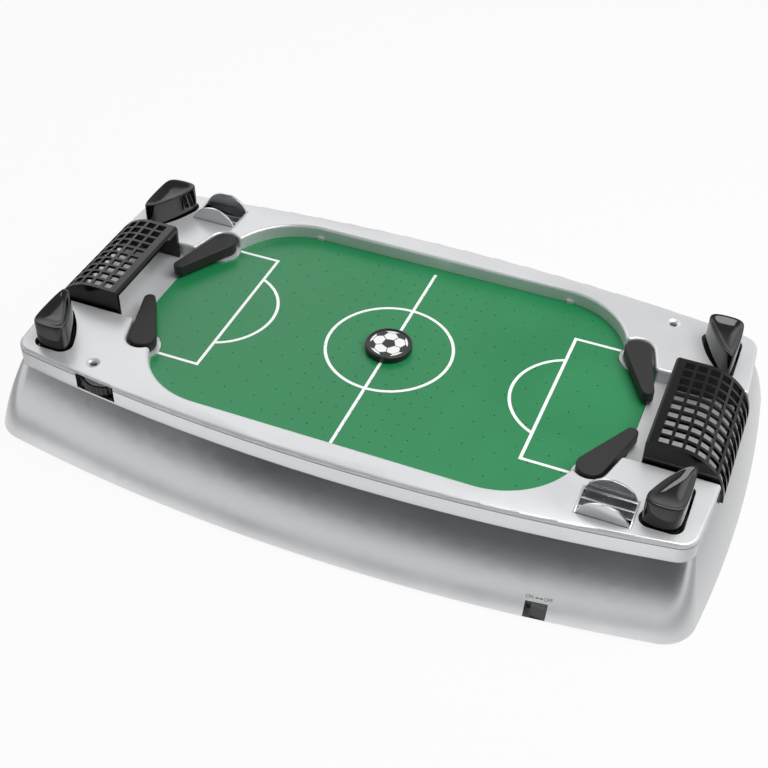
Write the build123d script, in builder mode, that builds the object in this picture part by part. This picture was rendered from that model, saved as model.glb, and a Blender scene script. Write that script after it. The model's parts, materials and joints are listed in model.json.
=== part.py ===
from build123d import *
from math import acos, asin, cos, degrees, hypot, pi, radians, sin, tan
import os

# Table-top air soccer game: a silver housing with a perforated green pitch, four flippers worked by
# four push buttons, two net goals, two score wheels and two racks for spare pucks.
# Millimetres. Origin under the middle of the game, +X to the right goal, +Y to the far side, +Z up.

# Heights
foot_height = 1.5
pitch_height = 51.0
deck_rise = 10.5
deck_thickness = 3.0
parting_groove = 0.6
band_height = 11.5
floor_thickness = 3.0
wall = 2.5

# Playing field
field_half_length = 152.5
field_half_width = 104.4
field_corner = 56.0
board_overrun = 23.5
board_thickness = 2.5
board_margin = 4.0
board_end_margin = 13.3
lip_round = 2.0
point_round = 2.5
nib_x = 99.0
nib_width = 5.0
nib_height = 2.4
nib_depth = 1.6
hole_radius = 0.45
hole_pitch = 11.0
hole_margin = 7.0
hole_shift_x = -1.3
hole_shift_y = 2.7
hole_columns = 13
hole_rows = 8
dense_columns = 4

# Deck outline, with sides and ends that bow outwards
deck_end_land = 86.2
deck_side_land = 18.0
deck_side_bow = 20.0
deck_end_bow = 5.0
deck_corner = 13.0
deck_edge_round = 2.2

# Base outline, where the flared skirt meets the floor
end_flare = 14.5
side_flare = 29.1
base_side_bow = 23.0
base_end_bow = 9.8
base_corner = 24.0
base_edge_round = 1.2
side_bulge = 3.2
end_bulge = 0.2

# Goals
goal_setback = 34.8
goal_depth = 53.7
goal_side_land = 61.3
goal_height = 26.6
goal_bend = 33.4
goal_drop = 7.1
goal_skin = 2.2
goal_rim_width = 7.0
goal_rim_depth = 4.0
goal_rim_slope = 1.6
net_rows = 10
net_margin = 3.0
net_bar = 2.1
net_thick_bar = 3.0
net_opening = 6.3
net_last_opening = 8.5
net_long_opening = 18.0
net_columns = 4
goal_gap = 1.6

# Flippers
flipper_setback = 6.5
flipper_side = 15.6
flipper_reach = 42.0
flipper_lean = 23.0
flipper_root = 9.2
flipper_tip = 4.2
flipper_height = 8.0
flipper_float = 3.0
flipper_gap = 2.0
flipper_edge_round = 0.8
neck_radius = 8.5
seat_margin = 1.4
seat_show = 11.8
seat_rise = 1.5
shaft_radius = 3.5
shaft_end_z = 12.0
running_gap = 0.05

# Rack and pinion under each flipper
gear_module = 1.25
gear_teeth = 17
gear_backlash = 0.3
gear_addendum = 0.85
gear_dedendum = 1.15
gear_width = 6.0
gear_z = 22.0
pressure_angle = 20.0
rack_back = 5.2
rack_tooth_count = 6
slide_gap = 0.3

# Push buttons
button_travel = 8.0
button_setback = 44.0
button_width = 26.5
button_side_inset = 8.6
button_length = 43.8
button_wide_round = 6.0
button_tip_round = 3.0
button_side_bow = 4.5
button_rise = 19.0
button_gap = 1.5
button_dish_radius = 40.0
button_dish_sweep = 100.0
button_dish_depth = 3.4
button_rim = 1.6
button_rim_round = 0.6
collar_depth = 8.5
collar_wall = 1.6
button_flange = 2.2
button_flange_height = 2.5
stem_inset = 10.0
stem_tip_width = 4.0
stem_depth = 7.0
stem_tip_z = 19.0
wedge_height = 12.5
hook_thickness = 6.1
leaf_thickness = 0.8
leaf_width = 6.0
leaf_foot = 8.0

# Score wheels
wheel_setback = 13.5
wheel_proud = 1.4
wheel_radius = 17.0
wheel_height = 6.5
wheel_top_gap = 2.5
wheel_teeth = 36
wheel_tooth_depth = 0.6
wheel_pin_radius = 2.5
wheel_slot_width = 31.0
wheel_slot_height = 10.5
wheel_cover = 1.2
window_offset_x = 9.1
window_offset_y = 0.8
window_radius = 2.7
window_dish = 5.4

# Puck, and the racks for spare ones
puck_radius = 16.3
puck_thickness = 5.0
puck_rim = 1.6
puck_dish = 0.5
puck_edge_round = 0.8
puck_float = 0.3
match_puck_x = -2.5
match_puck_y = 5.0
rack_setback = 24.9
rack_inset = 13.9
rack_slots = 3
rack_rib = 1.6
rack_cheek = 1.8
rack_sink = 2.5
rack_gap = 0.3
rack_side = 1.0
rack_lip = 1.0
rack_rib_drop = 1.5
cheek_radius = 17.6
cheek_sink = 5.5

# Air supply
tray_inset = 2.5
tray_corner = 50.0
tray_depth = 18.5
tray_skin = 2.0
fan_x = -70.0
fan_radius = 30.0
fan_tip_gap = 1.5
fan_blades = 7
fan_height = 8.0
fan_hub = 7.0
blade_pitch = 35.0
blade_thickness = 1.4
motor_radius = 12.0
motor_height = 15.0
motor_shaft = 1.0
motor_shaft_length = 9.0
cup_height = 8.0
intake_slots = 12
intake_length = 14.0
intake_width = 4.0

# Batteries and switch
bay_x = 70.0
bay_length = 53.0
bay_width = 61.0
bay_depth = 16.0
door_margin = 2.0
door_gap = 0.3
cell_pitch = 15.0
cell_count = 4
contact_size = 9.0
contact_thickness = 0.5
switch_x = 152.7
switch_window = 13.8
switch_tab = 9.2
switch_height = 10.6
switch_sill = 1.0
switch_gap = 0.3
switch_tab_depth = 7.5
switch_body_length = 25.0
switch_body_depth = 8.5

# Fasteners and feet
post_radius = 4.5
post_joint_drop = 6.5
screw_radius = 1.4
screw_head_radius = 2.8
screw_head_height = 2.0
screw_recess = 0.6
screw_bite = 4.0
foot_radius = 8.0
foot_setback = 52.5
foot_inset = 4.4
tray_post_x = 115.0
tray_post_y = 75.0
field_screw_inset = 12.5
field_screw_side = 1.4
goal_screw_setback = 7.7
goal_screw_side = 7.8

# Plan places worked out from the field outwards
deck_half_length = field_half_length + deck_end_land
deck_half_width = field_half_width + deck_side_land
base_half_length = deck_half_length + end_flare
base_half_width = deck_half_width + side_flare
board_half_length = field_half_length + board_overrun
board_post_x = (field_half_length + board_half_length) / 2
goal_mouth_x = field_half_length + goal_setback
goal_out_x = goal_mouth_x + goal_depth
goal_bend_x = goal_out_x - goal_bend
goal_half_width = field_half_width - goal_side_land
notch_half_width = goal_half_width + goal_gap
board_end_half_width = notch_half_width + board_end_margin
flipper_x = field_half_length + flipper_setback
flipper_y = notch_half_width + flipper_side
button_inner_x = field_half_length + button_setback
button_outer_x = button_inner_x + button_width
button_wide_y = field_half_width - button_side_inset
button_tip_y = button_wide_y - button_length
stem_inner_x = button_inner_x + stem_inset
rack_x = field_half_length + rack_setback
rack_y = field_half_width - rack_inset
wheel_x = field_half_length + wheel_setback
side_curve = deck_side_bow / (deck_half_length - deck_end_bow) ** 2
wheel_y = deck_half_width - side_curve * wheel_x**2 + wheel_proud - wheel_radius
window_x = wheel_x + window_offset_x
window_y = wheel_y + window_offset_y
tray_half_length = field_half_length - tray_inset
tray_half_width = field_half_width - tray_inset
foot_x = field_half_length + foot_setback
foot_y = field_half_width - foot_inset
field_screw_x = field_half_length - field_screw_inset
field_screw_y = field_half_width - field_screw_side
goal_screw_x = goal_mouth_x + goal_screw_setback
goal_screw_y = notch_half_width + goal_screw_side

# Levels and fits worked out from those sizes
floor_z = foot_height + floor_thickness
deck_z = pitch_height + deck_rise
deck_under = deck_z - deck_thickness
band_top = deck_under - parting_groove
crease_z = band_top - band_height
skirt_mid_z = (crease_z + foot_height) / 2
board_under = pitch_height - board_thickness
goal_roof_z = pitch_height + goal_height
goal_foot_z = pitch_height - goal_drop
flipper_base_z = pitch_height + flipper_float
seat_z = pitch_height + seat_rise
pocket_radius = flipper_root + flipper_gap
seat_radius = pocket_radius + seat_margin
pitch_radius = gear_module * gear_teeth / 2
rack_line_y = flipper_y + pitch_radius
rack_root_y = rack_line_y + gear_module * gear_dedendum
rack_out_y = rack_root_y + rack_back
stem_outer_y = rack_root_y - slide_gap
stem_inner_y = stem_outer_y - stem_depth
stem_outer_x = stem_inner_x + stem_tip_width + wedge_height
wedge_top_z = stem_tip_z + wedge_height
collar_z = deck_under - collar_depth
flange_top_z = collar_z - slide_gap
button_top_z = deck_z + button_rise
tray_z = board_under - tray_depth
post_joint_z = deck_under - post_joint_drop
switch_z = foot_height + switch_sill
wheel_top_z = deck_under - wheel_top_gap
wheel_z = wheel_top_z - wheel_height
puck_centre_z = deck_z - rack_sink
slot_width = puck_thickness + 2 * rack_gap
slot_pitch = slot_width + rack_rib
rack_depth = rack_slots * slot_pitch - rack_rib + 2 * rack_cheek
slot_radius = puck_radius + rack_gap
rack_half_width = slot_radius + rack_side
rack_floor_z = puck_centre_z - slot_radius - rack_rib

corners = {"back_right": (1, 1), "back_left": (-1, 1), "front_left": (-1, -1), "front_right": (1, -1)}
every_corner = list(corners.values())
field_screws = [(sx * field_screw_x, sy * field_screw_y) for sx, sy in every_corner]
goal_screws = [(sx * goal_screw_x, sy * goal_screw_y) for sx, sy in every_corner]
screw_places = field_screws + goal_screws

os.makedirs("parts", exist_ok=True)


# Plan outlines that several pieces share
def bowed_outline(half_length, half_width, side_bow, end_bow, corner):
    """Rectangle with outward-bowed sides and round corners."""
    corner_x = half_length - end_bow
    corner_y = half_width - side_bow
    with BuildSketch() as shape:
        with BuildLine():
            ThreePointArc((-corner_x, -corner_y), (0, -half_width), (corner_x, -corner_y))
            ThreePointArc((corner_x, -corner_y), (half_length, 0), (corner_x, corner_y))
            ThreePointArc((corner_x, corner_y), (0, half_width), (-corner_x, corner_y))
            ThreePointArc((-corner_x, corner_y), (-half_length, 0), (-corner_x, -corner_y))
        make_face()
        fillet(shape.vertices(), corner)
    return shape.sketch


def deck_outline(inset):
    """The deck's edge, drawn in by an inset."""
    return bowed_outline(
        deck_half_length - inset, deck_half_width - inset, deck_side_bow, deck_end_bow, deck_corner - inset
    )


def skirt_outlines(inset, bottom_z):
    """Heights and outlines of the flared skirt, from the crease down to a bottom level."""
    drop = crease_z - foot_height
    mid_z = skirt_mid_z + side_bulge * side_flare / hypot(drop, side_flare)
    middle = bowed_outline(
        (deck_half_length + base_half_length) / 2 + end_bulge * drop / hypot(drop, end_flare) - inset,
        (deck_half_width + base_half_width) / 2 + side_bulge * drop / hypot(drop, side_flare) - inset,
        (deck_side_bow + base_side_bow) / 2,
        (deck_end_bow + base_end_bow) / 2,
        (deck_corner + base_corner) / 2 - inset,
    )
    bottom = bowed_outline(
        base_half_length - inset, base_half_width - inset, base_side_bow, base_end_bow, base_corner - inset
    )
    return [(crease_z, deck_outline(inset)), (mid_z, middle), (bottom_z, bottom)]


def flipper_outline(grow):
    """A flipper at rest in the back right corner, seen from above."""
    tip_x = flipper_x + flipper_reach * sin(radians(flipper_lean))
    tip_y = flipper_y - flipper_reach * cos(radians(flipper_lean))
    with BuildSketch() as shape:
        with Locations((flipper_x, flipper_y)):
            Circle(flipper_root + grow)
        with Locations((tip_x, tip_y)):
            Circle(flipper_tip + grow)
        make_hull()
    return shape.sketch


def field_outline(grow):
    """The deck's opening: the field, the four flipper pockets and the two goal notches."""
    with BuildSketch() as shape:
        RectangleRounded(2 * (field_half_length + grow), 2 * (field_half_width + grow), field_corner + grow)
        Rectangle(3 * base_half_length, 2 * (notch_half_width + grow))
        Rectangle(2 * flipper_x, 2 * flipper_y)
        add(flipper_outline(flipper_gap + grow))
        mirror(about=Plane.YZ)
        mirror(about=Plane.XZ)
    return shape.sketch


def is_pocket_point(edge):
    """True for the upright edges where a flipper pocket runs into the field or into a goal notch."""
    x = abs(edge.center().X)
    y = abs(edge.center().Y)
    from_pivot = hypot(x - flipper_x, y - flipper_y)
    from_arc = hypot(x - field_half_length + field_corner, y - field_half_width + field_corner)
    meets_field = abs(from_pivot - pocket_radius) < 0.05 and abs(from_arc - field_corner) < 0.05
    meets_notch = abs(y - notch_half_width) < 0.05 and x < goal_mouth_x
    return meets_field or meets_notch


def seat_outline(grow):
    """The seat under the back right flipper, seen from above: wide under the wall, narrow on the field."""
    with BuildSketch() as shape:
        with Locations((flipper_x, flipper_y)):
            Circle(seat_radius + grow)
        RectangleRounded(
            2 * (field_half_length - grow),
            2 * (field_half_width - grow),
            field_corner - grow,
            mode=Mode.SUBTRACT,
        )
        with Locations((flipper_x, flipper_y)):
            Circle(seat_show + grow)
    return shape.sketch


def button_outline(grow):
    """A push button in the back right corner, seen from above: a rounded triangle."""
    wide_inner = (button_inner_x, button_wide_y)
    wide_outer = (button_outer_x, button_wide_y)
    tip = (button_outer_x, button_tip_y)
    with BuildSketch() as shape:
        with BuildLine():
            Line(wide_inner, wide_outer)
            Line(wide_outer, tip)
            SagittaArc(wide_inner, tip, -button_side_bow)
        make_face()
        tip_corner = shape.vertices().sort_by(Axis.Y)[0]
        fillet(tip_corner, button_tip_round)
        wide_corners = shape.vertices().group_by(Axis.Y)[-1]
        fillet(wide_corners, button_wide_round)
        offset(amount=grow, mode=Mode.REPLACE)
    return shape.sketch


def to_corner(piece, side_x, side_y):
    """A piece made in the back right corner, mirrored into another corner."""
    if side_x < 0:
        piece = mirror(piece, about=Plane.YZ)
    if side_y < 0:
        piece = mirror(piece, about=Plane.XZ)
    return piece


# Lower housing: flared skirt, upright band, floor, posts and guides
guide_x = flipper_x - pitch_radius - button_travel
guide_end_x = stem_inner_x - hook_thickness - button_travel
guide_top_z = gear_z - slide_gap
pin_post_radius = 2 * wheel_pin_radius

with BuildPart() as lower_housing:
    for height, outline in skirt_outlines(0, foot_height):
        with BuildSketch(Plane.XY.offset(height)):
            add(outline)
    loft()
    fillet(lower_housing.edges().group_by(Axis.Z)[0], base_edge_round)
    with BuildSketch(Plane.XY.offset(crease_z)):
        add(deck_outline(0))
    extrude(amount=band_height)
    for height, outline in skirt_outlines(wall, floor_z):
        with BuildSketch(Plane.XY.offset(height)):
            add(outline)
    loft(mode=Mode.SUBTRACT)
    with BuildSketch(Plane.XY.offset(crease_z)):
        add(deck_outline(wall))
    extrude(amount=band_height, mode=Mode.SUBTRACT)
    # The tongue inside the band carries the deck and leaves the groove open
    with BuildSketch(Plane.XY.offset(crease_z)):
        add(deck_outline(wall / 2))
        add(deck_outline(wall + 0.4), mode=Mode.SUBTRACT)
    extrude(amount=deck_under - crease_z)
    # Posts for the deck screws, the air tray and the ends of the board
    with BuildSketch(Plane.XY.offset(floor_z)):
        with Locations(*screw_places):
            Circle(post_radius)
    extrude(amount=post_joint_z - floor_z)
    with BuildSketch(Plane.XY.offset(floor_z)):
        with Locations(*[(sx * tray_post_x, sy * tray_post_y) for sx, sy in every_corner]):
            Circle(post_radius)
    extrude(amount=tray_z - floor_z)
    with BuildSketch(Plane.XY.offset(floor_z)):
        with Locations((board_post_x, 0), (-board_post_x, 0)):
            Circle(post_radius)
    extrude(amount=board_under - floor_z)
    # Bearing posts for the flipper shafts
    with BuildSketch(Plane.XY.offset(floor_z)):
        with Locations(*[(sx * flipper_x, sy * flipper_y) for sx, sy in every_corner]):
            Circle(2 * shaft_radius)
    extrude(amount=guide_top_z - floor_z)
    with BuildSketch(Plane.XY.offset(shaft_end_z - slide_gap)):
        with Locations(*[(sx * flipper_x, sy * flipper_y) for sx, sy in every_corner]):
            Circle(shaft_radius + running_gap)
    extrude(amount=gear_z - shaft_end_z, mode=Mode.SUBTRACT)
    # Guides that the racks slide in: a bed, an outer fence and a short inner fence
    for side_x, side_y in every_corner:
        bed_x = side_x * (guide_x + guide_end_x) / 2
        bed_y = side_y * (rack_root_y + rack_out_y + slide_gap + wall) / 2
        fence_y = side_y * (rack_out_y + slide_gap + wall / 2)
        keeper_y = side_y * (rack_root_y - slide_gap - wall / 2)
        keeper_x = side_x * (guide_end_x - rack_back)
        with BuildSketch(Plane.XY.offset(floor_z)):
            with Locations((bed_x, bed_y)):
                Rectangle(guide_end_x - guide_x, rack_back + slide_gap + wall)
        extrude(amount=guide_top_z - floor_z)
        with BuildSketch(Plane.XY.offset(floor_z)):
            with Locations((bed_x, fence_y)):
                Rectangle(guide_end_x - guide_x, wall)
            with Locations((keeper_x, keeper_y)):
                Rectangle(2 * rack_back, wall)
        extrude(amount=gear_z + gear_width - floor_z)
    # Score wheel posts, each with a pin, and the slots that the wheels show through
    for turn in (1, -1):
        with BuildSketch(Plane.XY.offset(floor_z)):
            with Locations((turn * wheel_x, turn * wheel_y)):
                Circle(pin_post_radius)
        extrude(amount=wheel_z - slide_gap - floor_z)
        with BuildSketch(Plane.XY.offset(floor_z)):
            with Locations((turn * wheel_x, turn * wheel_y)):
                Circle(wheel_pin_radius)
        extrude(amount=wheel_top_z - floor_z)
        with BuildSketch(Plane.XY.offset(deck_under - wheel_slot_height)):
            with Locations((turn * wheel_x, turn * (wheel_y + wheel_radius))):
                Rectangle(wheel_slot_width, wheel_radius)
        extrude(amount=wheel_slot_height, mode=Mode.SUBTRACT)
    # Notches in both ends for the goals
    with BuildSketch(Plane.XY.offset(goal_foot_z - slide_gap)):
        with Locations((deck_half_length, 0), (-deck_half_length, 0)):
            Rectangle(6 * wall, 2 * notch_half_width)
    extrude(amount=deck_z - goal_foot_z, mode=Mode.SUBTRACT)
    # Battery bay, open downwards
    with BuildSketch(Plane.XY.offset(floor_z)):
        with Locations((bay_x, 0)):
            Rectangle(bay_length + 2 * door_margin + wall, bay_width + 2 * door_margin + wall)
    extrude(amount=bay_depth + wall)
    with BuildSketch(Plane.XY.offset(foot_height)):
        with Locations((bay_x, 0)):
            Rectangle(bay_length + 2 * door_margin, bay_width + 2 * door_margin)
    extrude(amount=floor_thickness, mode=Mode.SUBTRACT)
    with BuildSketch(Plane.XY.offset(floor_z)):
        with Locations((bay_x, 0)):
            Rectangle(bay_length, bay_width)
    extrude(amount=bay_depth, mode=Mode.SUBTRACT)
    # Motor cup and the ring of air intakes round it
    with BuildSketch(Plane.XY.offset(floor_z)):
        with Locations((fan_x, 0)):
            Circle(motor_radius + running_gap + wall)
            Circle(motor_radius + running_gap, mode=Mode.SUBTRACT)
    extrude(amount=cup_height)
    with BuildSketch(Plane.XY.offset(foot_height)):
        with Locations((fan_x, 0)):
            with PolarLocations((motor_radius + wall + fan_radius) / 2, intake_slots):
                SlotOverall(intake_length, intake_width)
    extrude(amount=floor_thickness, mode=Mode.SUBTRACT)
    # Window of the on-off switch in the skirt
    with BuildSketch(Plane.XY.offset(switch_z)):
        with Locations((switch_x, -base_half_width)):
            Rectangle(switch_window, base_half_width / 4)
    extrude(amount=switch_height, mode=Mode.SUBTRACT)
    # Screw holes, counterbored from below
    with Locations(*[(x, y, foot_height) for x, y in screw_places]):
        Cylinder(
            screw_head_radius + slide_gap,
            screw_head_height + screw_recess,
            align=(Align.CENTER, Align.CENTER, Align.MIN),
            mode=Mode.SUBTRACT,
        )
        Cylinder(
            screw_radius + slide_gap,
            post_joint_z,
            align=(Align.CENTER, Align.CENTER, Align.MIN),
            mode=Mode.SUBTRACT,
        )
lower_housing.part.label = "lower_housing"
export_step(lower_housing.part, "parts/lower_housing.step")


# Deck: top plate, wall round the field, goal floors, flipper seats, button collars
rack_places = [(rack_x, -rack_y), (-rack_x, rack_y)]
goal_floor_x = board_half_length + slide_gap
goal_floor_end = goal_out_x - goal_skin - goal_gap

with BuildPart() as deck:
    with BuildSketch(Plane.XY.offset(deck_under)):
        add(deck_outline(0))
    extrude(amount=deck_thickness)
    fillet(deck.edges().group_by(Axis.Z)[-1], deck_edge_round)
    with BuildSketch(Plane.XY.offset(deck_under)):
        add(field_outline(0))
    extrude(amount=deck_thickness, mode=Mode.SUBTRACT)
    with BuildSketch(Plane.XY.offset(pitch_height)):
        add(field_outline(wall))
        add(field_outline(0), mode=Mode.SUBTRACT)
        add(deck_outline(2 * wall), mode=Mode.INTERSECT)
    extrude(amount=deck_under - pitch_height)
    fillet(deck.edges().filter_by(Axis.Z).filter_by(is_pocket_point), point_round)
    lip = deck.edges().filter_by_position(Axis.Z, deck_z - 0.01, deck_z + 0.01)
    lip = lip.filter_by(lambda edge: abs(edge.center().X) < goal_bend_x)
    lip = lip.filter_by(lambda edge: abs(edge.center().Y) < field_half_width + 1)
    fillet(lip, lip_round)
    with BuildSketch(Plane.XY.offset(board_under)):
        for side in (1, -1):
            with Locations((side * (goal_floor_x + goal_floor_end) / 2, 0)):
                Rectangle(goal_floor_end - goal_floor_x, 2 * goal_half_width)
            with Locations((side * (goal_floor_x + goal_bend_x) / 2, 0)):
                Rectangle(goal_bend_x - goal_floor_x, 2 * (notch_half_width + wall))
    extrude(amount=board_thickness)
    # Nibs at the foot of the long walls, which press on the board
    with Locations(*[(sx * nib_x, sy * field_half_width, pitch_height) for sx, sy in every_corner]):
        Box(nib_width, 2 * nib_depth, nib_height, align=(Align.CENTER, Align.CENTER, Align.MIN))
    # Raised seats that the flipper shafts turn in
    with BuildSketch(Plane.XY.offset(board_under)):
        add(seat_outline(0))
        mirror(about=Plane.YZ)
        mirror(about=Plane.XZ)
    extrude(amount=seat_z - board_under)
    with BuildSketch(Plane.XY.offset(board_under)):
        with Locations(*[(sx * flipper_x, sy * flipper_y) for sx, sy in every_corner]):
            Circle(shaft_radius + running_gap)
    extrude(amount=seat_z - board_under, mode=Mode.SUBTRACT)
    # Collars that guide the buttons, and the cut-outs inside them
    with BuildSketch(Plane.XY.offset(collar_z)):
        add(button_outline(button_gap + collar_wall))
        mirror(about=Plane.YZ)
        mirror(about=Plane.XZ)
    extrude(amount=collar_depth)
    with BuildSketch(Plane.XY.offset(collar_z)):
        add(button_outline(button_gap))
        mirror(about=Plane.YZ)
        mirror(about=Plane.XZ)
    extrude(amount=collar_depth + deck_thickness, mode=Mode.SUBTRACT)
    # Openings for the puck racks, and score windows in shallow dishes
    with BuildSketch(Plane.XY.offset(collar_z)):
        with Locations(*rack_places):
            Rectangle(2 * (rack_half_width + rack_gap), rack_depth + 2 * rack_gap)
    extrude(amount=deck_z - collar_z, mode=Mode.SUBTRACT)
    with Locations((window_x, window_y, deck_z), (-window_x, -window_y, deck_z)):
        CounterSinkHole(window_radius, window_dish, depth=deck_thickness, counter_sink_angle=130)
    # Relief under the deck's edge, so that a thumb reaches the score wheels
    with BuildSketch(Plane.XY.offset(deck_under)):
        for turn in (1, -1):
            with Locations((turn * wheel_x, turn * (wheel_y + wheel_radius))):
                Rectangle(wheel_slot_width, wheel_radius)
    extrude(amount=deck_thickness - wheel_cover, mode=Mode.SUBTRACT)
    # Bosses that the deck screws bite into
    with BuildSketch(Plane.XY.offset(post_joint_z)):
        with Locations(*screw_places):
            Circle(post_radius)
    extrude(amount=post_joint_drop)
    with BuildSketch(Plane.XY.offset(post_joint_z)):
        with Locations(*screw_places):
            Circle(screw_radius)
    extrude(amount=screw_bite, mode=Mode.SUBTRACT)
deck.part.label = "deck"
export_step(deck.part, "parts/deck.step")


# Pitch board, held down by the deck's wall and pierced by the air holes
def is_air_hole(column, row):
    """True where the board has a hole: everywhere in the middle, every other place further out."""
    x = abs(hole_shift_x + hole_pitch * column)
    y = abs(hole_shift_y + hole_pitch * row)
    past_x = max(0, x - field_half_length + field_corner)
    past_y = max(0, y - field_half_width + field_corner)
    in_field = hypot(past_x, past_y) < field_corner - hole_margin
    return in_field and (abs(column) <= dense_columns or (column + row) % 2 == 1)


hole_places = [
    (hole_shift_x + hole_pitch * column, hole_shift_y + hole_pitch * row)
    for column in range(-hole_columns, hole_columns + 1)
    for row in range(-hole_rows, hole_rows + 1)
    if is_air_hole(column, row)
]

with BuildPart() as pitch_board:
    with BuildSketch(Plane.XY.offset(board_under)):
        RectangleRounded(
            2 * (field_half_length + board_margin),
            2 * (field_half_width + board_margin),
            field_corner + board_margin,
        )
        Rectangle(2 * board_half_length, 2 * board_end_half_width)
        with Locations(*hole_places):
            Circle(hole_radius, mode=Mode.SUBTRACT)
    extrude(amount=board_thickness)
    with BuildSketch(Plane.XY.offset(board_under)):
        add(seat_outline(slide_gap))
        mirror(about=Plane.YZ)
        mirror(about=Plane.XZ)
    extrude(amount=board_thickness, mode=Mode.SUBTRACT)
pitch_board.part.label = "pitch_board"
export_step(pitch_board.part, "parts/pitch_board.step")


# Air tray: the shallow box under the board that spreads the air, with a collar round the fan
duct_radius = fan_radius + fan_tip_gap
duct_depth = fan_height + 2 * tray_skin
with BuildPart() as air_tray:
    with BuildSketch(Plane.XY.offset(tray_z)):
        RectangleRounded(2 * tray_half_length, 2 * tray_half_width, tray_corner)
    extrude(amount=tray_depth)
    offset(amount=-tray_skin, openings=air_tray.faces().sort_by(Axis.Z)[-1])
    with BuildSketch(Plane.XY.offset(tray_z - duct_depth)):
        with Locations((fan_x, 0)):
            Circle(duct_radius + tray_skin)
    extrude(amount=duct_depth)
    with BuildSketch(Plane.XY.offset(tray_z - duct_depth)):
        with Locations((fan_x, 0)):
            Circle(duct_radius)
    extrude(amount=duct_depth + tray_skin, mode=Mode.SUBTRACT)
air_tray.part.label = "air_tray"
export_step(air_tray.part, "parts/air_tray.step")


# Fan motor in its cup, and the impeller on its shaft
motor_top_z = floor_z + motor_height
fan_z = motor_top_z + slide_gap
with BuildPart() as fan_motor:
    with BuildSketch(Plane.XY.offset(floor_z)):
        with Locations((fan_x, 0)):
            Circle(motor_radius)
    extrude(amount=motor_height)
    with BuildSketch(Plane.XY.offset(motor_top_z)):
        with Locations((fan_x, 0)):
            Circle(motor_shaft)
    extrude(amount=motor_shaft_length)
fan_motor.part.label = "fan_motor"
export_step(fan_motor.part, "parts/fan_motor.step")

with BuildPart() as fan_impeller:
    with BuildSketch(Plane.XY.offset(fan_z)):
        with Locations((fan_x, 0)):
            Circle(fan_hub)
    extrude(amount=fan_height)
    with Locations((fan_x, 0, fan_z + fan_height / 2)):
        with PolarLocations((fan_hub + fan_radius) / 2 - 1, fan_blades):
            Box(fan_radius - fan_hub, fan_height, blade_thickness, rotation=(blade_pitch, 0, 0))
    with BuildSketch(Plane.XY.offset(fan_z)):
        with Locations((fan_x, 0)):
            Circle(motor_shaft + running_gap)
    extrude(amount=fan_height, mode=Mode.SUBTRACT)
fan_impeller.part.label = "fan_impeller"
export_step(fan_impeller.part, "parts/fan_impeller.step")


# Goals: a curved net with a flat front rim and two cheek plates
def goal_curve():
    """The goal's outer profile from the mouth over the bend to its foot, as a chain of edges."""
    with BuildLine() as profile:
        Line((goal_mouth_x, goal_roof_z), (goal_bend_x, goal_roof_z))
        RadiusArc((goal_bend_x, goal_roof_z), (goal_out_x, goal_roof_z - goal_bend), goal_bend)
        Line((goal_out_x, goal_roof_z - goal_bend), (goal_out_x, goal_foot_z))
    return profile.line


net_start_x = goal_mouth_x + goal_rim_width
flat_run = goal_bend_x - net_start_x
row_pitch = (2 * (goal_half_width - net_margin) + net_bar) / net_rows
last_start = net_columns * (net_opening + net_bar)
long_start = last_start + net_last_opening + net_thick_bar
net_bands = [(column * (net_opening + net_bar), net_opening) for column in range(net_columns)]
net_bands += [(last_start, net_last_opening), (long_start, net_long_opening)]


def net_cell(along, row):
    """Place of one net opening, square to the skin that it goes through."""
    across = (row - (net_rows - 1) / 2) * row_pitch
    angle = max(0, (along - flat_run) / goal_bend)
    middle = goal_bend - goal_skin / 2
    x = min(net_start_x + along, goal_bend_x) + middle * sin(angle)
    z = goal_roof_z - goal_bend + middle * cos(angle)
    return Location((x, across, z), (0, degrees(angle), 0))


with BuildPart() as goal:
    with BuildSketch(Plane.XZ):
        with BuildLine():
            add(goal_curve())
            Line((goal_out_x, goal_foot_z), (goal_out_x - goal_skin, goal_foot_z))
            Line((goal_out_x - goal_skin, goal_foot_z), (goal_out_x - goal_skin, pitch_height))
            Line((goal_out_x - goal_skin, pitch_height), (goal_mouth_x, pitch_height))
            Line((goal_mouth_x, pitch_height), (goal_mouth_x, goal_roof_z))
        make_face()
    extrude(amount=goal_half_width, both=True)
    with BuildSketch(Plane.XZ):
        with BuildLine():
            Line((0, goal_roof_z - goal_skin), (goal_bend_x, goal_roof_z - goal_skin))
            RadiusArc(
                (goal_bend_x, goal_roof_z - goal_skin),
                (goal_out_x - goal_skin, goal_roof_z - goal_bend),
                goal_bend - goal_skin,
            )
            Line((goal_out_x - goal_skin, goal_roof_z - goal_bend), (goal_out_x - goal_skin, 0))
            Line((goal_out_x - goal_skin, 0), (0, 0))
            Line((0, 0), (0, goal_roof_z - goal_skin))
        make_face()
    extrude(amount=goal_half_width - goal_skin, both=True, mode=Mode.SUBTRACT)
    with Locations((goal_mouth_x, 0, goal_roof_z)):
        Box(
            goal_rim_width,
            2 * goal_half_width,
            goal_rim_depth,
            align=(Align.MIN, Align.CENTER, Align.MAX),
        )
    mouth_edge = goal.edges().filter_by(Axis.Y).group_by(Axis.Z)[-1].sort_by(Axis.X)[0]
    chamfer(mouth_edge, goal_rim_slope)
    for start, opening in net_bands:
        with Locations(*[net_cell(start + opening / 2, row) for row in range(net_rows)]):
            Box(opening, row_pitch - net_bar, 4 * goal_skin, mode=Mode.SUBTRACT)
for name, side in (("goal_right", 1), ("goal_left", -1)):
    piece = to_corner(goal.part, side, 1)
    piece.label = name
    export_step(piece, f"parts/{name}.step")


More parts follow.
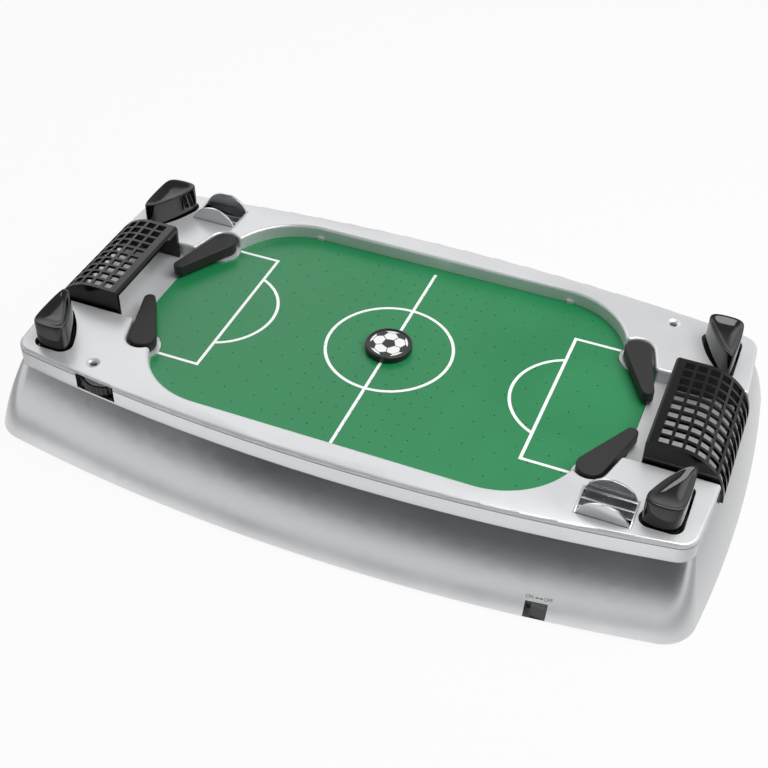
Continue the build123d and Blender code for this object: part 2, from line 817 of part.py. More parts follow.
# Flippers: blade and shaft in one moulding
with BuildPart() as flipper:
    with BuildSketch(Plane.XY.offset(flipper_base_z)):
        add(flipper_outline(0))
    extrude(amount=flipper_height)
    fillet(flipper.edges().group_by(Axis.Z)[-1], flipper_edge_round)
    with BuildSketch(Plane.XY.offset(seat_z + slide_gap)):
        with Locations((flipper_x, flipper_y)):
            Circle(neck_radius)
    extrude(amount=flipper_base_z - seat_z - slide_gap)
    with BuildSketch(Plane.XY.offset(shaft_end_z)):
        with Locations((flipper_x, flipper_y)):
            Circle(shaft_radius)
    extrude(amount=flipper_base_z - shaft_end_z)


# Pinions with involute teeth, pressed on the flipper shafts
base_radius = pitch_radius * cos(radians(pressure_angle))
tip_radius = pitch_radius + gear_module * gear_addendum
root_radius = pitch_radius - gear_module * gear_dedendum


def involute(radius):
    """Involute function of the pressure angle at a radius."""
    angle = acos(min(1, base_radius / radius))
    return tan(angle) - angle


half_tooth = pi / (2 * gear_teeth) - gear_backlash / (4 * pitch_radius) + involute(pitch_radius)


def tooth_flank(middle, side):
    """Points of one flank, from the root to the tip."""
    radii = (root_radius, base_radius, pitch_radius, tip_radius)
    angles = [middle + side * (half_tooth - involute(max(radius, base_radius))) for radius in radii]
    return [
        (flipper_x + radius * cos(angle), flipper_y + radius * sin(angle))
        for radius, angle in zip(radii, angles)
    ]


pinion_points = []
for tooth in range(gear_teeth):
    tooth_middle = pi / 2 + 2 * pi * tooth / gear_teeth
    pinion_points += tooth_flank(tooth_middle, -1)
    pinion_points += reversed(tooth_flank(tooth_middle, 1))

with BuildPart() as flipper_pinion:
    with BuildSketch(Plane.XY.offset(gear_z)):
        with BuildLine():
            Polyline(*pinion_points, close=True)
        make_face()
        with Locations((flipper_x, flipper_y)):
            Circle(shaft_radius, mode=Mode.SUBTRACT)
    extrude(amount=gear_width)


# Rack sliders: teeth at the pinion, and a hook with a sloping face behind the button's wedge
tooth_pitch = pi * gear_module
rack_tip_y = rack_line_y - gear_module * gear_addendum
flank = tan(radians(pressure_angle))
tooth_half = tooth_pitch / 4 - gear_backlash / 4
hook_x = stem_inner_x + stem_tip_width + gear_z - stem_tip_z + slide_gap
hook_out_x = hook_x + gear_width + hook_thickness
rack_start_x = flipper_x - (rack_tooth_count - 1) * tooth_pitch

with BuildPart() as button_rack:
    with BuildSketch(Plane.XY.offset(gear_z)):
        with Locations(((rack_start_x + hook_out_x) / 2, (rack_root_y + rack_out_y) / 2)):
            Rectangle(hook_out_x - rack_start_x, rack_back)
        for tooth in range(rack_tooth_count):
            middle = flipper_x + (1.5 - tooth) * tooth_pitch
            tip_half = tooth_half - flank * gear_module * gear_addendum
            root_half = tooth_half + flank * gear_module * gear_dedendum
            with BuildLine():
                Polyline(
                    (middle - root_half, rack_root_y),
                    (middle - tip_half, rack_tip_y),
                    (middle + tip_half, rack_tip_y),
                    (middle + root_half, rack_root_y),
                    close=True,
                )
            make_face()
    extrude(amount=gear_width)
    with BuildSketch(Plane.XZ.offset(-rack_out_y)):
        with BuildLine():
            Polyline(
                (hook_x, gear_z),
                (hook_out_x, gear_z),
                (hook_out_x, gear_z + gear_width),
                (hook_x + gear_width, gear_z + gear_width),
                close=True,
            )
        make_face()
    extrude(amount=rack_out_y - stem_inner_y)


# Push buttons: dished cap, retaining flange and a stem that ends in a wedge
wide_middle_x = (button_inner_x + button_outer_x) / 2
dish_x = (button_inner_x + 2 * button_outer_x) / 3
dish_y = (button_wide_y + button_tip_y) / 2
dish_z = button_top_z - button_dish_depth + button_dish_sweep + button_dish_radius
dish_turn = asin((button_outer_x - wide_middle_x) / button_length)
dish_place = Plane(origin=(dish_x, dish_y, dish_z), z_dir=(cos(dish_turn), sin(dish_turn), 0))

with BuildPart() as button_dish:
    with BuildSketch(Plane.XY.offset(button_top_z - 2 * button_dish_depth)):
        add(button_outline(-button_rim))
    extrude(amount=3 * button_dish_depth)
    with Locations(dish_place):
        Torus(button_dish_sweep, button_dish_radius, mode=Mode.INTERSECT)

with BuildPart() as push_button:
    with BuildSketch(Plane.XY.offset(flange_top_z)):
        add(button_outline(0))
    extrude(amount=button_top_z - flange_top_z)
    add(button_dish.part, mode=Mode.SUBTRACT)
    fillet(push_button.faces().sort_by(Axis.Z)[-1].edges(), button_rim_round)
    with BuildSketch(Plane.XY.offset(flange_top_z - button_flange_height)):
        add(button_outline(button_flange))
    extrude(amount=button_flange_height)
    with BuildSketch(Plane.XZ.offset(-stem_outer_y)):
        with BuildLine():
            Polyline(
                (stem_inner_x, flange_top_z),
                (stem_inner_x, stem_tip_z),
                (stem_inner_x + stem_tip_width, stem_tip_z),
                (stem_outer_x, wedge_top_z),
                (stem_outer_x, flange_top_z),
                close=True,
            )
        make_face()
    extrude(amount=stem_depth)


# Leaf springs that lift the buttons again
leaf_y = (stem_inner_y + stem_outer_y + leaf_width) / 2
leaf_rest_z = stem_tip_z - slide_gap - leaf_thickness
leaf_foot_x = hook_out_x + leaf_foot / 4
with BuildPart() as leaf_spring:
    with BuildSketch(Plane.XZ.offset(-leaf_y)):
        with BuildLine():
            Polyline(
                (leaf_foot_x + leaf_foot, floor_z),
                (leaf_foot_x, floor_z),
                (stem_inner_x + 2 * stem_tip_width, leaf_rest_z),
                (stem_inner_x, leaf_rest_z),
                (stem_inner_x, leaf_rest_z + leaf_thickness),
                (stem_inner_x + 2 * stem_tip_width, leaf_rest_z + leaf_thickness),
                (leaf_foot_x, floor_z + leaf_thickness),
                (leaf_foot_x + leaf_foot, floor_z + leaf_thickness),
                close=True,
            )
        make_face()
    extrude(amount=leaf_width)

corner_pieces = {
    "flipper": flipper,
    "flipper_pinion": flipper_pinion,
    "button_rack": button_rack,
    "push_button": push_button,
    "leaf_spring": leaf_spring,
}
for kind, builder in corner_pieces.items():
    for corner, (side_x, side_y) in corners.items():
        piece = to_corner(builder.part, side_x, side_y)
        piece.label = f"{kind}_{corner}"
        export_step(piece, f"parts/{kind}_{corner}.step")


# Score wheels, knurled round the rim
wheel_points = []
for tooth in range(2 * wheel_teeth):
    reach = wheel_radius - wheel_tooth_depth * (tooth % 2)
    angle = pi * tooth / wheel_teeth
    wheel_points.append((wheel_x + reach * cos(angle), wheel_y + reach * sin(angle)))
with BuildPart() as score_wheel:
    with BuildSketch(Plane.XY.offset(wheel_z)):
        with BuildLine():
            Polyline(*wheel_points, close=True)
        make_face()
        with Locations((wheel_x, wheel_y)):
            Circle(wheel_pin_radius + running_gap, mode=Mode.SUBTRACT)
    extrude(amount=wheel_height)
for name, turn in (("score_wheel_back", 0), ("score_wheel_front", 180)):
    piece = score_wheel.part.rotate(Axis.Z, turn)
    piece.label = name
    export_step(piece, f"parts/{name}.step")


# Puck racks: two round cheeks and three slots that run down below the deck
with BuildPart() as puck_rack:
    with BuildSketch(Plane.XY.offset(rack_floor_z)):
        with Locations((rack_x, -rack_y)):
            Rectangle(2 * rack_half_width, rack_depth)
    extrude(amount=deck_z - rack_floor_z)
    with BuildSketch(Plane.XY.offset(deck_under - tray_skin)):
        with Locations((rack_x, -rack_y)):
            Rectangle(2 * rack_half_width, rack_depth + 2 * rack_lip)
    extrude(amount=tray_skin)
    with BuildSketch(Plane.XZ.offset(rack_y - rack_depth / 2)):
        with Locations((rack_x, deck_z - cheek_sink)):
            Circle(cheek_radius)
        with Locations((rack_x, deck_under)):
            Rectangle(2 * rack_half_width, cheek_radius, align=(Align.CENTER, Align.MIN), mode=Mode.INTERSECT)
    extrude(amount=rack_depth)
    for slot in range(rack_slots):
        slot_y = rack_y - rack_depth / 2 + rack_cheek + slot * slot_pitch
        with BuildSketch(Plane.XZ.offset(slot_y)):
            with Locations((rack_x, puck_centre_z)):
                Circle(slot_radius)
            with Locations((rack_x, puck_centre_z + slot_radius)):
                Rectangle(2 * slot_radius, 2 * slot_radius)
        extrude(amount=slot_width, mode=Mode.SUBTRACT)
    # The ribs between the slots stop just below the level of the deck
    with BuildSketch(Plane.XZ.offset(rack_y - rack_depth / 2 + rack_cheek)):
        with Locations((rack_x, deck_z - rack_rib_drop + cheek_radius)):
            Rectangle(4 * cheek_radius, 2 * cheek_radius)
    extrude(amount=rack_depth - 2 * rack_cheek, mode=Mode.SUBTRACT)
for name, turn in (("puck_rack_front", 0), ("puck_rack_back", 180)):
    piece = puck_rack.part.rotate(Axis.Z, turn)
    piece.label = name
    export_step(piece, f"parts/{name}.step")


# Match puck, afloat on the field
with BuildPart() as match_puck:
    with BuildSketch(Plane.XY.offset(pitch_height + puck_float)):
        with Locations((match_puck_x, match_puck_y)):
            Circle(puck_radius)
    extrude(amount=puck_thickness)
    fillet(match_puck.edges(), puck_edge_round)
    with BuildSketch(Plane.XY.offset(pitch_height + puck_float + puck_thickness - puck_dish)):
        with Locations((match_puck_x, match_puck_y)):
            Circle(puck_radius - puck_rim)
    extrude(amount=puck_dish, mode=Mode.SUBTRACT)
match_puck.part.label = "match_puck"
export_step(match_puck.part, "parts/match_puck.step")


# Battery door, and the contact plates in the bay
with BuildPart() as battery_door:
    with BuildSketch(Plane.XY.offset(foot_height)):
        with Locations((bay_x, 0)):
            Rectangle(
                bay_length + 2 * (door_margin - door_gap),
                bay_width + 2 * (door_margin - door_gap),
            )
    extrude(amount=floor_thickness)
battery_door.part.label = "battery_door"
export_step(battery_door.part, "parts/battery_door.step")

contact_end = (bay_length - contact_thickness) / 2
with BuildPart() as battery_contacts:
    with Locations((bay_x, 0, floor_z + bay_depth / 2)):
        with GridLocations(2 * contact_end, cell_pitch, 2, cell_count):
            Box(contact_thickness, contact_size, contact_size)
battery_contacts.part.label = "battery_contacts"
export_step(battery_contacts.part, "parts/battery_contacts.step")


# On-off slide switch behind its window
window_y_out = base_half_width - base_side_bow * (switch_x / (base_half_length - base_end_bow)) ** 2
switch_face_y = -(window_y_out - wall / 2)
switch_back_y = switch_face_y + switch_tab_depth
tab_x = switch_x + (switch_window - switch_tab) / 2 - switch_gap
with BuildPart() as switch_slider:
    with Locations((tab_x, switch_face_y, switch_z + switch_gap)):
        Box(
            switch_tab,
            switch_tab_depth,
            switch_height - 2 * switch_gap,
            align=(Align.CENTER, Align.MIN, Align.MIN),
        )
switch_slider.part.label = "switch_slider"
export_step(switch_slider.part, "parts/switch_slider.step")

with BuildPart() as switch_body:
    with Locations((switch_x, switch_back_y + switch_gap, floor_z)):
        Box(
            switch_body_length,
            switch_body_depth,
            switch_height - 2 * switch_sill,
            align=(Align.CENTER, Align.MIN, Align.MIN),
        )
switch_body.part.label = "switch_body"
export_step(switch_body.part, "parts/switch_body.step")


# Screws that hold the deck down from below, and the rubber feet
head_z = foot_height + screw_recess
with BuildPart() as deck_screws:
    with BuildSketch(Plane.XY.offset(head_z)):
        with Locations(*screw_places):
            Circle(screw_head_radius)
    extrude(amount=screw_head_height)
    with BuildSketch(Plane.XY.offset(head_z)):
        with Locations(*screw_places):
            Circle(screw_radius)
    extrude(amount=post_joint_z + screw_bite - head_z)
deck_screws.part.label = "deck_screws"
export_step(deck_screws.part, "parts/deck_screws.step")

with BuildPart() as rubber_feet:
    with BuildSketch():
        with Locations(*[(sx * foot_x, sy * foot_y) for sx, sy in every_corner]):
            Circle(foot_radius)
    extrude(amount=foot_height)
rubber_feet.part.label = "rubber_feet"
export_step(rubber_feet.part, "parts/rubber_feet.step")
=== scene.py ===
# %% [markdown]
# # A tabletop air soccer game
#
# The real toy is a silver plastic housing with a perforated green pitch, grey flippers, black push
# buttons and two black net goals. Its solids come from the CAD model. This lesson gives each of them a
# finish, adds the soft and printed details that a solid model leaves out, and sets up a plain studio.

# %% Load the solids
import bmesh
import bpy
import json
from math import atan2, cos, pi, radians, sin
from mathutils import Matrix, Vector

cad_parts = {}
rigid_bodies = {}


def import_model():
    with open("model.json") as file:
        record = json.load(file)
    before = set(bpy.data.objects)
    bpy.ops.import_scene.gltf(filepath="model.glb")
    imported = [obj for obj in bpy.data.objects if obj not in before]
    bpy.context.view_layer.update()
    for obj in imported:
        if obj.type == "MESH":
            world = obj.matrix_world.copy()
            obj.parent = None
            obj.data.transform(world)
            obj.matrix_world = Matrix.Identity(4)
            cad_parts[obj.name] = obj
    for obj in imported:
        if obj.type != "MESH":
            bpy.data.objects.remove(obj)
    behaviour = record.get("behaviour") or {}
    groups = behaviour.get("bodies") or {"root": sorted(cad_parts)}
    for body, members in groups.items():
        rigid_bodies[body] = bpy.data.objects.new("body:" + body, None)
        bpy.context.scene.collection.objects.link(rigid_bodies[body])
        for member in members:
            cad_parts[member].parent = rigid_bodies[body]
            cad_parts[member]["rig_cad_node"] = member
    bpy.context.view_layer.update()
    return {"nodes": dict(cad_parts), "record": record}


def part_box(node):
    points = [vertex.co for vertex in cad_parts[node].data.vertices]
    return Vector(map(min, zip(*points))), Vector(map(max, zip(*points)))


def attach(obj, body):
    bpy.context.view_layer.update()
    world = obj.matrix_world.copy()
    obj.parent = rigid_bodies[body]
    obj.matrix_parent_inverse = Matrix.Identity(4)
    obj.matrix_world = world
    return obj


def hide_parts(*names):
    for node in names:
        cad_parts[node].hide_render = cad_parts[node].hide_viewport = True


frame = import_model()
nodes = frame["nodes"]
record = frame["record"]
slot_of = {subpart["node"]: subpart["material_slot"] for subpart in record["subparts"]}
bpy.ops.object.select_all(action="DESELECT")
print(len(nodes), "solids loaded")

# %% [markdown]
# ## Camera
#
# The photograph looks down on the long front side from the right. Lens, place and tilt were worked out
# from the printed circle and the straight edges, so the picture lies over the photograph. A matrix of
# three directions places the camera in one step, where turning it by hand would take three.

# %% Camera
AZIMUTH = radians(21.691)
ELEVATION = radians(42.029)
ROLL = radians(0.894)
CAMERA_PLACE = Vector((0.24834, -0.63357, 0.63623))
LENS_MM = 60.87

level_reach = cos(ELEVATION)
towards_camera = Vector((sin(AZIMUTH) * level_reach, -cos(AZIMUTH) * level_reach, sin(ELEVATION)))
level_right = Vector((0, 0, 1)).cross(towards_camera).normalized()
level_up = towards_camera.cross(level_right)
right = cos(ROLL) * level_right + sin(ROLL) * level_up
up = cos(ROLL) * level_up - sin(ROLL) * level_right
bpy.ops.object.camera_add()
camera = bpy.context.object
turn = Matrix((right, up, towards_camera)).transposed().to_4x4()
camera.matrix_world = Matrix.Translation(CAMERA_PLACE) @ turn
camera.data.lens = LENS_MM
bpy.context.scene.camera = camera
print("camera at", tuple(camera.location))

# %% [markdown]
# ## Node helper
#
# Every finish is a small tree of shader nodes. One function adds a node, sets its fields, fills or links
# its sockets and hands back the output that the next node needs. Another turns the colours, written as
# on a screen, into the linear values that the shader works with. A fade from one level to another is
# needed so often that it has a short name of its own.


# %% Node helper
def linear(code):
    """Linear colour of an sRGB hex code."""
    parts = [int(code[i : i + 2], 16) / 255 for i in (1, 3, 5)]
    return [p / 12.92 if p <= 0.04045 else ((p + 0.055) / 1.055) ** 2.4 for p in parts] + [1]


def add(tree, kind, sockets, out=0, **fields):
    """Adds a node, sets its fields, fills or links its sockets and returns one output."""
    node = tree.nodes.new("ShaderNode" + kind)
    for field, value in fields.items():
        setattr(node, field, value)
    for name, value in sockets.items():
        if isinstance(value, bpy.types.NodeSocket):
            tree.links.new(value, node.inputs[name])
        else:
            node.inputs[name].default_value = value
    return node.outputs[out] if node.outputs else None


def fade(tree, value, start, end, first, last, **fields):
    """A level that goes from first to last while a value goes from start to end."""
    sockets = {"Value": value, "From Min": start, "From Max": end, "To Min": first, "To Max": last}
    return add(tree, "MapRange", sockets, **fields)


def empty_tree(owner):
    """The cleared node tree of a new material or world."""
    owner.use_nodes = True
    owner.node_tree.nodes.clear()
    return owner.node_tree


print("mid grey is", round(linear("#808080")[0], 3), "in linear light")

# %% [markdown]
# ## Studio
#
# A white room that darkens upwards lights the toy softly. The part of it above the camera is dim, as in a
# studio where no lamp stands there, and the silver skirt mirrors that part as a dark band below its crease.
# A window on the far left lays a pale veil on the left half of the pitch. The floor shows white and keeps
# the shadow, but what the skirt mirrors of it is a painted pool of light that fades away from the toy, like
# paper under one soft lamp. All of it is one world tree, one plane and one lamp, because painted reflections
# would not turn with the toy.

# %% Room
bpy.context.scene.view_settings.view_transform = "Standard"
ROOM_WHITE = "#F6F7F8"
SEEN_WHITE = "#FDFDFD"
# Upward part of a direction at which the walls start and stop to darken, and their light there
WALL_FOOT, WALL_HEAD = 0.3, 0.75
WALL_LIGHT, WALL_DARK = 0.88, 0.35
# Direction of the dim part, how it is widened sideways, its edge and core, and the light left in it
DIM_SIDE = (0.18, -0.58, 0.795)
DIM_WIDTH = 0.42
DIM_EDGE, DIM_CORE = 0.69, 0.90
DIM_LIGHT = 0.13
# Direction of the window, its edge and core, and the light that it adds
WINDOW_SIDE = (-0.49, 0.587, 0.643)
WINDOW_EDGE, WINDOW_CORE = 0.92, 0.99
WINDOW_LIGHT = 1.1

world = bpy.data.worlds.new("studio")
bpy.context.scene.world = world
room = empty_tree(world)
soft_edge = {"interpolation_type": "SMOOTHSTEP"}
direction = add(room, "TexCoord", {}, out="Generated")
height = add(room, "SeparateXYZ", {0: direction}, out="Z")
narrowed = add(room, "VectorMath", {0: direction, 1: (DIM_WIDTH, 1, 1)}, operation="MULTIPLY")
turned = add(room, "VectorMath", {0: narrowed}, operation="NORMALIZE")
to_dim = add(room, "VectorMath", {0: turned, 1: DIM_SIDE}, out="Value", operation="DOT_PRODUCT")
to_window = add(room, "VectorMath", {0: direction, 1: WINDOW_SIDE}, out="Value", operation="DOT_PRODUCT")
walls = fade(room, height, WALL_FOOT, WALL_HEAD, WALL_LIGHT, WALL_DARK, **soft_edge)
shaded = fade(room, to_dim, DIM_EDGE, DIM_CORE, 1.0, DIM_LIGHT, **soft_edge)
window = fade(room, to_window, WINDOW_EDGE, WINDOW_CORE, 0.0, WINDOW_LIGHT, **soft_edge)
strength = add(room, "Math", {0: walls, 1: shaded, 2: window}, operation="MULTIPLY_ADD")
lit = add(room, "Background", {"Strength": strength, "Color": linear(ROOM_WHITE)})
seen = add(room, "Background", {"Color": linear(SEEN_WHITE)})
camera_ray = add(room, "LightPath", {}, out="Is Camera Ray")
add(room, "OutputWorld", {"Surface": add(room, "MixShader", {"Fac": camera_ray, 1: lit, 2: seen})})
print("room made of", len(room.nodes), "nodes")

# %% Floor
FLOOR_SIZE = 6
# Half length and half width of the toy's foot, and where the light on the paper fades, in feet
FOOT_SIZE = (0.2, 0.151)
POOL_EDGE, POOL_END = 1.1, 1.6
POOL_LIGHT = 0.45
SHADOW_SHARE = 0.05

bpy.ops.mesh.primitive_plane_add(size=FLOOR_SIZE)
floor = bpy.context.object
floor.name = "floor"
white_paper = bpy.data.materials.new("white_paper")
paper = empty_tree(white_paper)
matt = add(paper, "BsdfDiffuse", {"Color": linear("#F2F2F2")})
camera_ray = add(paper, "LightPath", {}, out="Is Camera Ray")
mirror_ray = camera_ray.node.outputs["Is Glossy Ray"]
place = add(paper, "TexCoord", {}, out="Object")
in_feet = (1 / FOOT_SIZE[0], 1 / FOOT_SIZE[1], 0)
across = add(paper, "VectorMath", {0: place, 1: in_feet}, operation="MULTIPLY")
sides = add(paper, "VectorMath", {0: across}, operation="ABSOLUTE")
side_x = add(paper, "SeparateXYZ", {0: sides}, out="X")
away = add(paper, "Math", {0: side_x, 1: side_x.node.outputs["Y"]}, operation="MAXIMUM")
# A painted pool of light: the glow that mirrors see is full near the toy's foot and fades to a lower level
# away from it
pool = fade(paper, away, POOL_EDGE, POOL_END, 1.0, POOL_LIGHT)
bright = add(paper, "Math", {0: camera_ray, 1: pool}, operation="MAXIMUM")
glow = add(paper, "Emission", {"Color": linear(SEEN_WHITE), "Strength": bright})
# The eye sees mostly glow, with a share of matt paper for the shadow, and mirrors see glow alone
share = add(paper, "Math", {0: camera_ray, 1: 1 - SHADOW_SHARE, 2: mirror_ray}, operation="MULTIPLY_ADD")
add(paper, "OutputMaterial", {"Surface": add(paper, "MixShader", {"Fac": share, 1: matt, 2: glow})})
floor.data.materials.append(white_paper)
print("floor of", FLOOR_SIZE, "m")

# %% Lamp
LAMP_PLACE = (0.4, 0.05, 0.9)
LAMP_SIZE = 0.8
LAMP_WATTS = 8.3

bpy.ops.object.light_add(type="AREA", location=LAMP_PLACE)
lamp = bpy.context.object
lamp.data.size = LAMP_SIZE
lamp.data.energy = LAMP_WATTS
lamp.rotation_euler = (-lamp.location).to_track_quat("-Z", "Y").to_euler()
print("lamp of", LAMP_WATTS, "W over the right end")

# %% [markdown]
# ## Surfaces
#
# Moulded plastic is never quite even. The mould leaves a fine grain, and the gloss drifts over a few
# centimetres. One function makes both from noise whose size is given in real millimetres, and a paint
# rule puts the colour on, so that each finish below only names what differs.

# %% Surface maker
DRIFT_MM = 70
GRAIN_DETAIL = 2.0
DRIFT_DETAIL = 3.0
DRIFT_LOW, DRIFT_HIGH = 0.3, 0.7
GLOSS_DRIFT = 0.15
TONE_LOW, TONE_HIGH = 0.1, 0.45


def surface(name, paint, roughness, grain_mm, depth_mm, shader):
    """Material with a fine grain, a slow drift of gloss and a colour from a paint rule."""
    material = bpy.data.materials.new(name)
    tree = empty_tree(material)
    place = add(tree, "TexCoord", {}, out="Object")
    grain = add(tree, "TexNoise", {"Vector": place, "Scale": 1000 / grain_mm, "Detail": GRAIN_DETAIL})
    drift = add(tree, "TexNoise", {"Vector": place, "Scale": 1000 / DRIFT_MM, "Detail": DRIFT_DETAIL})
    glossy, dull = (1 - GLOSS_DRIFT) * roughness, (1 + GLOSS_DRIFT) * roughness
    sockets = {
        "Base Color": paint(tree, place, grain, drift),
        "Roughness": fade(tree, drift, DRIFT_LOW, DRIFT_HIGH, glossy, dull),
        "Normal": add(tree, "Bump", {"Height": grain, "Distance": depth_mm / 1000}),
    }
    add(tree, "OutputMaterial", {"Surface": add(tree, "BsdfPrincipled", sockets | shader)})
    return material


def two_tone(dark, light):
    """Paint rule for two close colours that follow the grain and the drift."""

    def paint(tree, place, grain, drift):
        mix = add(tree, "Math", {0: grain, 1: drift}, operation="MULTIPLY")
        share = fade(tree, mix, TONE_LOW, TONE_HIGH, 0.0, 1.0)
        return add(tree, "Mix", {0: share, 6: linear(dark), 7: linear(light)}, out=2, data_type="RGBA")

    return paint


print("gloss drifts over", DRIFT_MM, "mm")

# %% [markdown]
# ## Silver paint
#
# The housing, deck and racks are moulded plastic, sprayed with satin silver paint. Fine aluminium flakes
# lie flat in it, so it mirrors the room softly like metal but shows no brushing. Metallic weight with a
# fairly low roughness gives that, and the grain has the size of the flakes. Paint that lies flat on a
# wide deck looks whiter than on the skirt, so the deck has less metallic weight.

# %% Silver paint
FLAKE_MM = 0.25
FLAKE_DEPTH_MM = 0.0015


def silver_paint(name, dark, light, roughness, metallic):
    """Sprayed paint with fine flakes."""
    return surface(name, two_tone(dark, light), roughness, FLAKE_MM, FLAKE_DEPTH_MM, {"Metallic": metallic})


# A soft mirror: white paper low on the skirt, the dim part of the room below the crease
silver = silver_paint("satin_silver_sprayed_paint", "#D6D7D9", "#E4E5E6", 0.235, 0.95)
# A pale, even sheet that only hints at the room, with a green tint where it faces the pitch
deck_silver = silver_paint("satin_silver_deck_paint", "#D4D5D7", "#E2E3E4", 0.34, 0.45)
# A brighter and slightly bluer mirror, so that the cheeks of a rack show as light and dark discs
rack_silver = silver_paint("silver_sprayed_rack_paint", "#D6D8DB", "#E4E6E8", 0.235, 0.9)
print("silver:", silver.name, deck_silver.name, rack_silver.name)

# %% [markdown]
# ## Black and grey plastics
#
# Buttons and goals come from polished moulds, so they are black and glossy with sharp highlights. The
# flippers come from an etched mould, which makes them matt and lighter. They differ in colour, roughness,
# grain and index of refraction. An index near 1.53 is usual for such plastic; it was then raised or
# lowered a little to match how strongly each of them mirrors the room.

# %% Black and grey plastics
PLASTIC = {"IOR": 1.53}
black = two_tone("#070708", "#0D0D0E")
charcoal = two_tone("#232221", "#2C2A29")
wheel_tones = two_tone("#141415", "#202021")
switch_tones = two_tone("#2C2C2D", "#3A3A3B")
# Deep black with clear mirror images in the bowl
gloss_black = surface("polished_black_abs", black, 0.08, 1.2, 0.002, {"IOR": 1.6})
# Black with softer highlights along the bars
net_black = surface("moulded_black_polypropylene", black, 0.12, 0.6, 0.003, {"IOR": 1.48})
# Dull charcoal without highlights
flipper_grey = surface("etched_charcoal_abs", charcoal, 0.5, 0.5, 0.012, {"IOR": 1.38})
# Plain black with a faint sheen on the knurls
wheel_black = surface("moulded_black_wheel_plastic", wheel_tones, 0.4, 0.5, 0.006, PLASTIC)
# Dark grey, matt from handling
switch_black = surface("moulded_dark_switch_plastic", switch_tones, 0.5, 0.4, 0.006, PLASTIC)
print("plastics:", gloss_black.name, net_black.name, flipper_grey.name)

# %% [markdown]
# ## Hidden parts
#
# The mechanism is seen only through the gaps or in a pose. Gears are natural white acetal, the tray and
# fan are raw grey plastic, screws and springs are bright plated steel, and the feet are soft black rubber.
# The same surface function makes them, so that a cut-away view still looks like a real toy.

# %% Hidden parts
STEEL = {"Metallic": 1.0}
# Warm white with a waxy, soft sheen
acetal = surface("natural_white_acetal", two_tone("#D6D5CC", "#E4E3DB"), 0.45, 0.8, 0.004, {"IOR": 1.48})
# Even grey, half matt
raw_grey = surface("raw_grey_polystyrene", two_tone("#A5A5A1", "#B6B6B2"), 0.5, 0.8, 0.006, {"IOR": 1.59})
# Cool bright metal with a soft mirror
plated = surface("zinc_plated_steel", two_tone("#B4B6BA", "#C9CBCE"), 0.33, 0.4, 0.002, STEEL)
# Neutral bright metal with a finer grain
spring = surface("rolled_spring_steel", two_tone("#A9A9A8", "#BDBDBB"), 0.33, 0.3, 0.002, STEEL)
# Nearly black and quite dull
rubber = surface("moulded_black_rubber", two_tone("#161616", "#222222"), 0.75, 0.7, 0.02, {"IOR": 1.52})
print("hidden parts:", acetal.name, raw_grey.name, plated.name, spring.name, rubber.name)

# %% [markdown]
# ## Printed pitch
#
# The pitch is a board with a screen-printed sheet: green ink, white lines and a thin satin lacquer. The
# lines are drawn by arithmetic on the place of each point in millimetres. A compare node gives one where a
# distance is within half a line of its wanted value, so a line, a box or a circle takes one or two nodes.

# %% Printed pitch
HALF_LINE = 1.1
MIDLINE_X = -2.0
MIDLINE_END_Y = 96.7
CIRCLE_CENTRE = (-2.3, 5.5, 51.0)
CIRCLE_RADIUS = 44.5
BOX_CENTRE = (-1.3, 2.45)
BOX_FRONT = 115.75
BOX_SIDE = 63.75
BOX_END = 147.3
ARC_CENTRE = (131.9, 0.0, 0.0)
ARC_RADIUS = 42.2
LINE_WHITE = "#FCFDFA"


def pitch_print(tree, place, grain, drift):
    """Paint rule for green ink with the white lines of a pitch."""
    spot = add(tree, "VectorMath", {0: place, "Scale": 1000.0}, operation="SCALE")
    x = add(tree, "SeparateXYZ", {0: spot}, out="X")
    y = x.node.outputs["Y"]
    # Distances from the middle of the two boxes, folded onto one corner
    from_x = add(tree, "Math", {0: x, 1: BOX_CENTRE[0]}, operation="SUBTRACT")
    from_y = add(tree, "Math", {0: y, 1: BOX_CENTRE[1]}, operation="SUBTRACT")
    along = add(tree, "Math", {0: from_x}, operation="ABSOLUTE")
    across = add(tree, "Math", {0: from_y}, operation="ABSOLUTE")
    folded = add(tree, "CombineXYZ", {"X": along, "Y": across})
    to_circle = add(tree, "VectorMath", {0: spot, 1: CIRCLE_CENTRE}, out="Value", operation="DISTANCE")
    to_arc = add(tree, "VectorMath", {0: folded, 1: ARC_CENTRE}, out="Value", operation="DISTANCE")
    # The two sides of a box, between its front and its end
    box_middle = (BOX_FRONT + BOX_END) / 2
    box_reach = (BOX_END - BOX_FRONT) / 2 + HALF_LINE
    beside = add(tree, "Math", {0: across, 1: BOX_SIDE, 2: HALF_LINE}, operation="COMPARE")
    between = add(tree, "Math", {0: along, 1: box_middle, 2: box_reach}, operation="COMPARE")
    white = add(tree, "Math", {0: beside, 1: between}, operation="MULTIPLY")
    # Each other line is a distance, its wanted value, and what stops it where
    lines = [
        (x, MIDLINE_X, y, MIDLINE_END_Y),
        (to_circle, CIRCLE_RADIUS, y, MIDLINE_END_Y),
        (along, BOX_FRONT, across, BOX_SIDE + HALF_LINE),
        (to_arc, ARC_RADIUS, along, BOX_FRONT),
    ]
    for distance, wanted, stop, limit in lines:
        on_line = add(tree, "Math", {0: distance, 1: wanted, 2: HALF_LINE}, operation="COMPARE")
        inside = add(tree, "Math", {0: stop, 1: limit}, operation="LESS_THAN")
        drawn = add(tree, "Math", {0: on_line, 1: inside}, operation="MULTIPLY")
        white = add(tree, "Math", {0: white, 1: drawn}, operation="MAXIMUM")
    green = two_tone("#187B48", "#248A54")(tree, place, grain, drift)
    return add(tree, "Mix", {0: white, 6: green, 7: linear(LINE_WHITE)}, out=2, data_type="RGBA")


